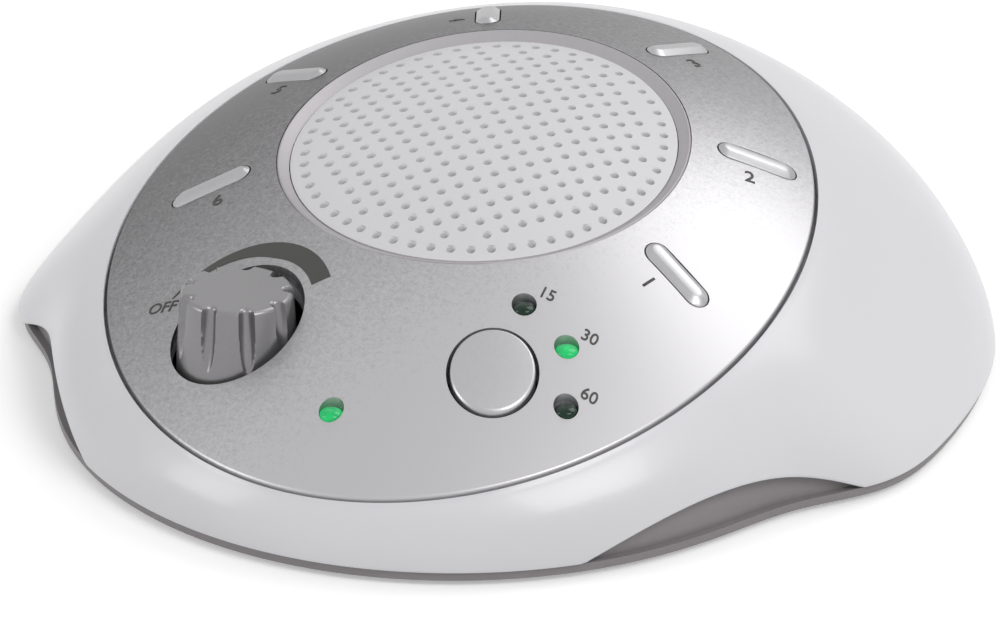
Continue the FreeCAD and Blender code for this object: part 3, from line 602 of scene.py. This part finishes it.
shellAround = shellSettings["around"]
shellRings = [shellSection(2 * math.pi * i / shellAround) for i in range(shellAround)]
shellVerts, shellFaces = weave(shellRings, closedAlong=True)
shell = addPiece("housingShell", shellVerts, shellFaces, "whiteShell", shellSettings["smooth"])
outwards(shell)


def portRing(radius, y):
    outline = circleOutline(0, shellSettings["portHeight"], radius, shellSettings["portSides"])
    return [Vector((x, y, z)) for x, z in outline]


def rearCutter():
    s = shellSettings
    verts, faces = weave([portRing(s["padRadius"], y) for y in (s["cutFrom"], s["cutTo"])], caps=True)
    return addPiece("cutter", verts, faces, "blackMould")


cutBy(shell, [rearCutter()], shellSettings["smooth"])
settle(shell, "housing", "white_abs", "top_housing")

deckX, deckY = layout["panelX"] * shellSettings["deckShare"], layout["panelY"] * shellSettings["deckShare"]
deck = domePlate("housingDeck", deckX, deckY, -layout["panelThick"] - shellSettings["deckGap"],
                 -layout["panelThick"] - layout["deckThick"], shellSettings["deckEdge"], "whiteShell")
cutBy(deck, openingCutters())
settle(deck, "housing", "white_abs", "top_housing")


padSettings = {"overlap": 0.6 * mm, "chamfer": 0.4 * mm, "thick": 3.0 * mm}


def portPad():
    s = padSettings
    face = shellSettings["portFace"]
    outer = shellSettings["padRadius"] + s["overlap"]
    inner = shellSettings["portRadius"]
    profile = [(outer, face), (inner + s["chamfer"], face), (inner, face - s["chamfer"]),
               (inner, face - s["thick"]), (outer, face - s["thick"])]
    verts, faces = weave([portRing(radius, y) for radius, y in profile], closedAlong=True)
    pad = addPiece("portPad", verts, faces, "whiteShell")
    outwards(pad)
    return pad


settle(portPad(), "housing", "white_abs", "top_housing")
print("housing done")


# Trim ring and perforated grille

ringSettings = {"outer": 33.25 * mm, "inner": 31.25 * mm, "depth": 1.45 * mm, "lip": 0.3 * mm,
                "low": 2.4 * mm, "chamfer": 0.12 * mm, "lipDrop": 0.02 * mm, "ease": 0.25 * mm,
                "easeRise": 0.05 * mm, "easeDrop": 0.1 * mm, "sides": 160}


def trimRing():
    s = ringSettings
    profile = [(s["outer"], -s["low"]), (s["outer"], -s["chamfer"]), (s["outer"] - s["chamfer"], 0.0),
               (s["outer"] - s["lip"], -s["lipDrop"]), (s["inner"] + s["ease"], -s["depth"] + s["easeRise"]),
               (s["inner"], -s["depth"] - s["easeDrop"]), (s["inner"], -s["low"])]
    rings = []
    for radius, lift in profile:
        rings.append([onDome(x, y, lift) for x, y in circleOutline(0, dome["centreY"], radius, s["sides"])])
    verts, faces = weave(rings, closedAlong=True)
    ring = addPiece("trimRing", verts, faces, "silverRing")
    outwards(ring)
    return ring


settle(trimRing(), "housing", "silver_button", "grille_ring")

grilleSettings = {"radius": 31.1 * mm, "depth": 1.45 * mm, "thick": 1.6 * mm, "Pitch": 4.3 * mm,
                  "Hole Radius": 0.72 * mm, "Flare": 0.2 * mm, "Field Radius": 27.1 * mm, "Rows": 27,
                  "Border Radius": 28.9 * mm, "Border Holes": 56, "across": 22, "sides": 128,
                  "holeSides": 14, "drillDepth": 8.0 * mm, "mouthSink": 0.3 * mm, "mouthNarrow": 0.9,
                  "mouthDeep": 3.0, "castHeight": 100.0 * mm, "castReach": 200.0 * mm}


def grilleBlank():
    s = grilleSettings
    steps, count = s["across"], s["sides"]
    top, low = -s["depth"], -s["depth"] - s["thick"]
    rings = []
    for lift, order in ((top, range(1, steps + 1)), (low, range(steps, 0, -1))):
        for j in order:
            outline = circleOutline(0, dome["centreY"], s["radius"] * j / steps, count)
            rings.append([onDome(x, y, lift) for x, y in outline])
    verts, faces = weave(rings)
    for start, lift, flip in ((0, top, True), (len(verts) - count, low, False)):
        verts.append(onDome(0, dome["centreY"], lift))
        for j in range(count):
            face = (start + j, start + (j + 1) % count, len(verts) - 1)
            faces.append(face if not flip else tuple(reversed(face)))
    blank = addPiece("speakerGrille", verts, faces, "whiteGrille")
    outwards(blank)
    return blank


class GeoSheet:
    def __init__(self, name):
        self.tree = bpy.data.node_groups.new(name, "GeometryNodeTree")
        self.tree.interface.new_socket("Geometry", in_out="INPUT", socket_type="NodeSocketGeometry")
        self.tree.interface.new_socket("Geometry", in_out="OUTPUT", socket_type="NodeSocketGeometry")
        self.input = self.tree.nodes.new("NodeGroupInput")
        self.output = self.tree.nodes.new("NodeGroupOutput")

    def named(self, name, kind, value):
        socket = self.tree.interface.new_socket(name, in_out="INPUT", socket_type=kind)
        socket.default_value = value
        return socket.identifier

    def add(self, kind, settings=None, sockets=None, out=0):
        node = self.tree.nodes.new(kind)
        for key, value in (settings or {}).items():
            setattr(node, key, value)
        for key, value in (sockets or {}).items():
            if isinstance(value, bpy.types.NodeSocket):
                self.tree.links.new(value, node.inputs[key])
            else:
                node.inputs[key].default_value = value
        return node.outputs[out]

    def calc(self, operation, first, second=0.0):
        return self.add("ShaderNodeMath", {"operation": operation}, {0: first, 1: second})


def perforate(blank):
    s = grilleSettings
    sheet = GeoSheet("staggeredHoles")
    identifiers = {}
    for name in ("Pitch", "Hole Radius", "Flare", "Field Radius", "Border Radius"):
        identifiers[name] = sheet.named(name, "NodeSocketFloat", grilleSettings[name])
    for name in ("Rows", "Border Holes"):
        identifiers[name] = sheet.named(name, "NodeSocketInt", grilleSettings[name])
    given = {socket.name: socket for socket in sheet.input.outputs}
    grid = sheet.add("GeometryNodeMeshGrid", {}, {"Size X": 1.0, "Size Y": 1.0, "Vertices X": given["Rows"],
                                                  "Vertices Y": given["Rows"]})
    index = sheet.add("GeometryNodeInputIndex")
    half = sheet.calc("DIVIDE", sheet.calc("SUBTRACT", given["Rows"], 1.0), 2.0)
    column = sheet.calc("SUBTRACT", sheet.calc("FLOOR", sheet.calc("DIVIDE", sheet.calc("ADD", index, 0.5),
                                                                   given["Rows"])), half)
    row = sheet.calc("SUBTRACT", sheet.calc("FLOORED_MODULO", index, given["Rows"]), half)
    step = sheet.calc("DIVIDE", given["Pitch"], 2.0)
    flat = sheet.add("ShaderNodeCombineXYZ", {}, {"X": sheet.calc("MULTIPLY", column, step),
                                                  "Y": sheet.calc("MULTIPLY", row, step), "Z": 0.0})
    reach = sheet.add("ShaderNodeVectorMath", {"operation": "LENGTH"}, {0: flat}, out=1)
    skipped = sheet.calc("FLOORED_MODULO", sheet.calc("ADD", column, row), 2.0)
    outside = sheet.calc("GREATER_THAN", reach, given["Field Radius"])
    dropped = sheet.calc("GREATER_THAN", sheet.calc("ADD", skipped, outside), 0.5)
    marked = sheet.add("GeometryNodeCaptureAttribute", {"domain": "POINT"}, {"Geometry": grid})
    marked.node.capture_items.new("FLOAT", "dropped")
    sheet.tree.links.new(dropped, marked.node.inputs["dropped"])
    spread = sheet.add("GeometryNodeSetPosition", {}, {"Geometry": marked, "Position": flat})
    kept = sheet.add("GeometryNodeDeleteGeometry", {"domain": "POINT"},
                     {"Geometry": spread, "Selection": marked.node.outputs["dropped"]})
    border = sheet.add("GeometryNodeMeshCircle", {}, {"Vertices": given["Border Holes"],
                                                      "Radius": given["Border Radius"]})
    both = sheet.add("GeometryNodeJoinGeometry", {}, {"Geometry": kept})
    sheet.tree.links.new(border, both.node.inputs["Geometry"])
    raised = sheet.add("GeometryNodeTransform", {}, {"Geometry": both, 
                                                      "Translation": (0, dome["centreY"], s["castHeight"])})
    field = sheet.add("GeometryNodeMeshToPoints", {}, {"Mesh": raised})
    place = sheet.add("GeometryNodeInputPosition")
    cast = {"Target Geometry": given["Geometry"], "Source Position": place, "Ray Direction": (0, 0, -1),
            "Ray Length": s["castReach"]}
    hit = sheet.add("GeometryNodeRaycast", {}, cast, out=1)
    landed = sheet.add("GeometryNodeSetPosition", {}, {"Geometry": field, "Position": hit})
    drill = sheet.add("GeometryNodeMeshCylinder", {}, {"Vertices": s["holeSides"], "Depth": s["drillDepth"],
                                                       "Radius": given["Hole Radius"]})
    flared = sheet.calc("ADD", given["Hole Radius"], given["Flare"])
    narrow = sheet.calc("MULTIPLY", given["Hole Radius"], s["mouthNarrow"])
    deep = sheet.calc("MULTIPLY", given["Flare"], s["mouthDeep"])
    mouth = sheet.add("GeometryNodeMeshCone", {}, {"Vertices": s["holeSides"], "Radius Top": flared,
                                                   "Radius Bottom": narrow, "Depth": deep})
    sunk = sheet.add("GeometryNodeTransform", {}, {"Geometry": mouth, "Translation": (0, 0, -s["mouthSink"])})
    cutter = sheet.add("GeometryNodeMeshBoolean", {"operation": "UNION", "solver": "EXACT"},
                       {"Mesh 2": drill})
    sheet.tree.links.new(sunk, cutter.node.inputs["Mesh 2"])
    copies = sheet.add("GeometryNodeInstanceOnPoints", {}, {"Points": landed, "Instance": cutter})
    solids = sheet.add("GeometryNodeRealizeInstances", {}, {"Geometry": copies})
    holed = sheet.add("GeometryNodeMeshBoolean", {"operation": "DIFFERENCE", "solver": "EXACT"},
                      {"Mesh 1": given["Geometry"], "Mesh 2": solids})
    real = sheet.add("GeometryNodeRealizeInstances", {}, {"Geometry": holed})
    final = sheet.add("GeometryNodeSetMaterial", {}, {"Geometry": real, "Material": finishes["whiteGrille"]})
    sheet.tree.links.new(final, sheet.output.inputs[0])
    modifier = blank.modifiers.new("perforation", "NODES")
    modifier.node_group = sheet.tree
    for name, identifier in identifiers.items():
        modifier[identifier] = grilleSettings[name]
    return baked(blank, 30)


grille = perforate(grilleBlank())
domeShade(grille, -grilleSettings["depth"])
print("grille done", len(grille.data.polygons))
settle(grille, "housing", "white_abs", "speaker_grille")


# Sound buttons

barSettings = {"rise": 0.8 * mm, "chamfer": 0.75 * mm, "round": 0.12 * mm, "low": 4.2 * mm,
               "slope": 0.35 * mm, "flat": 0.1 * mm, "crown": 0.02 * mm, "smooth": 24}


def soundBar(number, angle):
    s = barSettings
    width = layout["barWidth"]
    shoulder = s["chamfer"] + s["slope"]
    sections = [(0.0, -s["low"]), (0.0, s["rise"] - s["chamfer"] - s["round"]),
                (s["round"] * 0.5, s["rise"] - s["chamfer"] + s["round"] * 0.4),
                (shoulder - s["round"], s["rise"] - s["round"] * 0.5), (shoulder + s["round"], s["rise"]),
                (width / 2 - s["flat"], s["rise"] + s["crown"])]
    rings = []
    for inset, lift in sections:
        outline = barOutline(layout["barInner"], layout["barOuter"], width, angle, inset)
        rings.append([onDome(x, y, lift) for x, y in outline])
    verts, faces = weave(rings, caps=True)
    bar = addPiece("soundBar%d" % number, verts, faces, "silverButton", s["smooth"])
    outwards(bar)
    settle(bar, "sound_button_%d" % number, "silver_button", "sound_button_%d" % number)


for barNumber, barAngle in enumerate(barAngles, start=1):
    soundBar(barNumber, barAngle)


# Timer button

timerSettings = {"gap": 0.4 * mm, "rise": 0.55 * mm, "round": 0.5 * mm, "crown": 0.3 * mm,
                 "low": 5.0 * mm, "steps": 8, "smooth": 50}


def timerCap():
    s = timerSettings
    radius = layout["timerRadius"] - s["gap"]
    edge = radius - s["round"]
    profile = [(radius, -s["low"]), (radius, s["rise"] - s["round"])]
    for i in range(1, s["steps"] + 1):
        turn = math.radians(90 * i / s["steps"])
        profile.append((edge + s["round"] * math.cos(turn), s["rise"] - s["round"] * (1 - math.sin(turn))))
    for i in range(1, s["steps"] + 1):
        share = 1 - i / (s["steps"] + 0.5)
        profile.append((edge * share, s["rise"] + s["crown"] * (1 - share * share)))
    rings = []
    for r, lift in profile:
        outline = circleOutline(layout["controlX"], layout["controlY"], r, layout["controlSides"])
        rings.append([onDome(x, y, lift) for x, y in outline])
    verts, faces = weave(rings, caps=True)
    cap = addPiece("timerCap", verts, faces, "silverButton", s["smooth"])
    outwards(cap)
    return cap


settle(timerCap(), "timer_button", "silver_button", "timer_button")


# Lamps

lampSettings = {"rise": 0.1 * mm, "crown": 0.9 * mm, "length": 5.0 * mm, "steps": 12, "smooth": 60,
                "lit": ("power_lamp", "timer_lamp_30")}


def lampLensPiece(name, x, y, finish, slotName):
    s = lampSettings
    centre = domeZ(x, y) + s["rise"] - s["crown"]
    profile = [(1.0, -s["length"])]
    for i in range(s["steps"]):
        turn = math.radians(90 * i / s["steps"])
        profile.append((math.cos(turn), s["crown"] * math.sin(turn)))
    rings = []
    for share, lift in profile:
        outline = circleOutline(x, y, layout["lampRadius"] * share, layout["lampSides"])
        rings.append([Vector((px, py, centre + lift)) for px, py in outline])
    verts, faces = weave(rings, caps=True)
    lens = addPiece(name + "Lens", verts, faces, finish, s["smooth"])
    outwards(lens)
    settle(lens, "housing", slotName, name)


for lampName, (lampX, lampY) in lampPlaces.items():
    if lampName in lampSettings["lit"]:
        lampLensPiece(lampName, lampX, lampY, "lampLit", "lamp_bright")
    else:
        lampLensPiece(lampName, lampX, lampY, "lampDark", "lamp_dark")
print("buttons and lamps done")


# Volume knob

knobSettings = {"top": 32.1 * mm, "height": 13.4 * mm, "topRadius": 8.9 * mm, "baseRadius": 9.8 * mm,
                "flutes": 9, "firstFlute": -55.7, "fluteWidth": 0.40, "fluteDepth": 1.5 * mm, "fade": 0.78,
                "round": 0.7 * mm, "around": 432, "levels": 44, "taper": 0.8, "fluteEnd": 3, "fluteEase": 0.7,
                "sideFrom": 0.98, "sideReach": 0.93, "roundSteps": 8, "smooth": 50,
                "topShares": (0.9, 0.7, 0.4, 0.1)}


def knobRadius(turnDeg, down):
    s = knobSettings
    plain = s["topRadius"] + (s["baseRadius"] - s["topRadius"]) * down ** s["taper"]
    step = 360 / s["flutes"]
    away = abs((turnDeg - s["firstFlute"] + step / 2) % step - step / 2) / step
    if down >= s["fade"]:
        return plain
    reach = s["fluteWidth"] / 2 * math.sqrt(1 - (down / s["fade"]) ** s["fluteEnd"])
    if away >= reach or reach <= 0:
        return plain
    hollow = math.sqrt(1 - (away / reach) ** 2)
    return plain - s["fluteDepth"] * (1 - (down / s["fade"]) ** 2) ** s["fluteEase"] * hollow


def volumeKnob():
    s = knobSettings
    rings = []
    heights = [(1.0, 0.0)]
    for i in range(s["levels"] + 1):
        heights.append((s["sideFrom"] - s["sideReach"] * i / s["levels"], 0.0))
    shoulder = s["sideFrom"] - s["sideReach"]
    for i in range(1, s["roundSteps"] + 1):
        turn = math.radians(90 * i / s["roundSteps"])
        heights.append((shoulder * (1 - math.sin(turn)), s["round"] * (1 - math.cos(turn))))
    for down, inset in heights:
        ring = []
        for j in range(s["around"]):
            turnDeg = 360 * j / s["around"]
            radius = knobRadius(turnDeg, down) - inset
            turn = math.radians(turnDeg)
            ring.append(Vector((-layout["controlX"] + radius * math.cos(turn),
                                layout["controlY"] + radius * math.sin(turn), s["top"] - s["height"] * down)))
        rings.append(ring)
    edge = rings[-1]
    centre = Vector((-layout["controlX"], layout["controlY"], s["top"]))
    for share in s["topShares"]:
        rings.append([centre + (point - centre) * share for point in edge])
    verts, faces = weave(rings, caps=True)
    knob = addPiece("volumeKnob", verts, faces, "knobSilver", s["smooth"])
    outwards(knob)
    return knob


settle(volumeKnob(), "volume_knob", "knob", "volume_knob")
print("knob done")


# Printed marks

printSettings = {"lift": 0.03 * mm, "thick": 0.05 * mm, "digit": 2.6 * mm, "small": 2.0 * mm,
                 "curveScale": 1.4, "bold": 0.012, "curveSteps": 4, "numberRadius": 43.0 * mm,
                 "numberTurn": 7.0, "minutesPlace": (2.6 * mm, 3.2 * mm), "offPlace": (-37.0 * mm, -34.2 * mm)}
wedgeSettings = {"outer": 15.1 * mm, "wide": 3.1 * mm, "fromDeg": 158.0, "toDeg": 36.0, "steps": 72,
                 "start": 0.03, "grown": 0.62, "ease": 0.85}


def printedText(name, text, x, y, size, angleDeg):
    curve = bpy.data.curves.new(name, "FONT")
    curve.body = text
    curve.size = size * printSettings["curveScale"]
    curve.offset = size * printSettings["bold"]
    curve.align_x = "CENTER"
    curve.align_y = "CENTER"
    curve.resolution_u = printSettings["curveSteps"]
    holder = bpy.data.objects.new(name + "Curve", curve)
    scene.collection.objects.link(holder)
    mesh = bpy.data.meshes.new_from_object(holder.evaluated_get(bpy.context.evaluated_depsgraph_get()))
    bpy.data.objects.remove(holder)
    shape = bmesh.new()
    shape.from_mesh(mesh)
    bmesh.ops.triangulate(shape, faces=shape.faces)
    bmesh.ops.subdivide_edges(shape, edges=shape.edges, cuts=2, use_grid_fill=True)
    turned = Matrix.Rotation(math.radians(angleDeg), 4, "Z")
    for vert in shape.verts:
        flat = turned @ vert.co
        vert.co = onDome(x + flat.x, y + flat.y, printSettings["lift"])
    walls = bmesh.ops.extrude_face_region(shape, geom=shape.faces[:])
    lifted = [item for item in walls["geom"] if isinstance(item, bmesh.types.BMVert)]
    bmesh.ops.translate(shape, verts=lifted, vec=(0, 0, printSettings["thick"]))
    bmesh.ops.recalc_face_normals(shape, faces=shape.faces)
    shape.to_mesh(mesh)
    shape.free()
    piece = bpy.data.objects.new(name, mesh)
    scene.collection.objects.link(piece)
    mesh.materials.append(finishes["darkInk"])
    settle(piece, "housing", "black_plastic")


def volumeWedge():
    s = wedgeSettings
    rings = []
    for i in range(s["steps"] + 1):
        share = i / s["steps"]
        angle = math.radians(s["fromDeg"] + (s["toDeg"] - s["fromDeg"]) * share)
        wide = s["wide"] * min(1.0, s["start"] + share / s["grown"]) ** s["ease"]
        section = []
        for part, lift in ((0, 0), (0.5, 0), (1, 0), (1, 1), (0.5, 1), (0, 1)):
            radius = s["outer"] - wide * part
            x = -layout["controlX"] + radius * math.cos(angle)
            y = layout["controlY"] + radius * math.sin(angle)
            section.append(onDome(x, y, printSettings["lift"] + printSettings["thick"] * lift))
        rings.append(section)
    verts, faces = weave(rings, caps=True)
    wedge = addPiece("volumeWedge", verts, faces, "darkInk")
    outwards(wedge)
    settle(wedge, "housing", "black_plastic")


def printLabels():
    s = printSettings
    for number, angle in enumerate(barAngles, start=1):
        left = 90 < angle < 270
        turn = math.radians(angle + (s["numberTurn"] if left else -s["numberTurn"]))
        x = s["numberRadius"] * math.cos(turn)
        y = dome["centreY"] + s["numberRadius"] * math.sin(turn)
        printedText("soundNumber%d" % number, str(number), x, y, s["digit"], angle + (180 if left else 0))
    besideX, besideY = s["minutesPlace"]
    for minutes in (15, 30, 60):
        x, y = lampPlaces["timer_lamp_%d" % minutes]
        printedText("timerNumber%d" % minutes, str(minutes), x + besideX, y + besideY, s["small"], 0)
    printedText("offMark", "OFF", *s["offPlace"], s["small"], 0)


volumeWedge()
printLabels()
print("printing done")


# Floor, light and camera

stageSettings = {"floorSize": 4.0, "floorLow": 0.84, "floorHigh": 0.86, "floorRough": 0.8, "floorGlow": 0.36,
                 "mottle": 3.0, "worldLow": 0.30, "target": (0, 0, 0.02)}


def floorPiece():
    s = stageSettings
    size = s["floorSize"]
    mesh = bpy.data.meshes.new("floor")
    corners = [(-size, -size, 0), (size, -size, 0), (size, size, 0), (-size, size, 0)]
    mesh.from_pydata(corners, [], [(0, 1, 2, 3)])
    floor = bpy.data.objects.new("floor", mesh)
    scene.collection.objects.link(floor)
    sheet = NodeSheet("paleFloor")
    rays = sheet.nodes.new("ShaderNodeLightPath")
    seen = Num(sheet, rays.outputs["Is Camera Ray"]) + Num(sheet, rays.outputs["Is Glossy Ray"])
    seen = seen + Num(sheet, rays.outputs["Is Transmission Ray"])
    mottle = objectNoise(sheet, s["mottle"])
    shade = ramp(sheet, mottle, [(0.2, gray(s["floorLow"])), (0.8, gray(s["floorHigh"]))])
    sheet.finish(color=shade, roughness=s["floorRough"], glow=seen, glowStrength=s["floorGlow"])
    mesh.materials.append(sheet.material)


def areaLight(name, place, size, power):
    light = bpy.data.lights.new(name, "AREA")
    light.shape = "RECTANGLE"
    light.size = size[0]
    light.size_y = size[1]
    light.energy = power
    lamp = bpy.data.objects.new(name, light)
    lamp.location = place
    aim = Vector(stageSettings["target"]) - Vector(place)
    lamp.rotation_euler = aim.to_track_quat("-Z", "Y").to_euler()
    scene.collection.objects.link(lamp)


def worldLight():
    world = bpy.data.worlds.new("studio")
    scene.world = world
    world.use_nodes = True
    tree = world.node_tree
    background = tree.nodes["Background"]
    rays = tree.nodes.new("ShaderNodeLightPath")
    pick = tree.nodes.new("ShaderNodeMix")
    pick.data_type = "FLOAT"
    pick.inputs[2].default_value = stageSettings["worldLow"]
    pick.inputs[3].default_value = 1.0
    seen = rays.outputs["Is Camera Ray"]
    for kind in ("Is Glossy Ray", "Is Transmission Ray"):
        either = tree.nodes.new("ShaderNodeMath")
        either.operation = "ADD"
        either.use_clamp = True
        tree.links.new(seen, either.inputs[0])
        tree.links.new(rays.outputs[kind], either.inputs[1])
        seen = either.outputs[0]
    tree.links.new(seen, pick.inputs[0])
    tree.links.new(pick.outputs[0], background.inputs["Strength"])
    background.inputs["Color"].default_value = (1, 1, 1, 1)


floorPiece()
worldLight()
areaLight("keySoft", (0.9, -0.5, 1.1), (0.7, 0.7), 8)
areaLight("topSoft", (0.4, 0.75, 1.05), (0.9, 0.7), 5)
areaLight("leftFill", (-1.1, -0.9, 0.6), (0.6, 0.8), 5)

cameraSettings = {"azimuth": 23.306, "elevation": 26.452, "distance": 1.799, "lens": 404.2,
                  "sensor": 36, "near": 0.05, "aim": (7.92 * mm, -7.44 * mm, 17.35 * mm)}


def aimCamera():
    s = cameraSettings
    turn = math.radians(s["azimuth"])
    rise = math.radians(s["elevation"])
    back = Vector((math.sin(turn) * math.cos(rise), -math.cos(turn) * math.cos(rise), math.sin(rise)))
    right = Vector((math.cos(turn), math.sin(turn), 0))
    upward = back.cross(right)
    data = bpy.data.cameras.new("photoCamera")
    data.lens = s["lens"]
    data.sensor_width = s["sensor"]
    data.clip_start = s["near"]
    camera = bpy.data.objects.new("photoCamera", data)
    rotation = Matrix((right, upward, back)).transposed().to_4x4()
    camera.matrix_world = Matrix.Translation(Vector(s["aim"]) + back * s["distance"]) @ rotation
    scene.collection.objects.link(camera)
    scene.camera = camera


aimCamera()
scene.view_settings.view_transform = "Standard"
print("scene done")
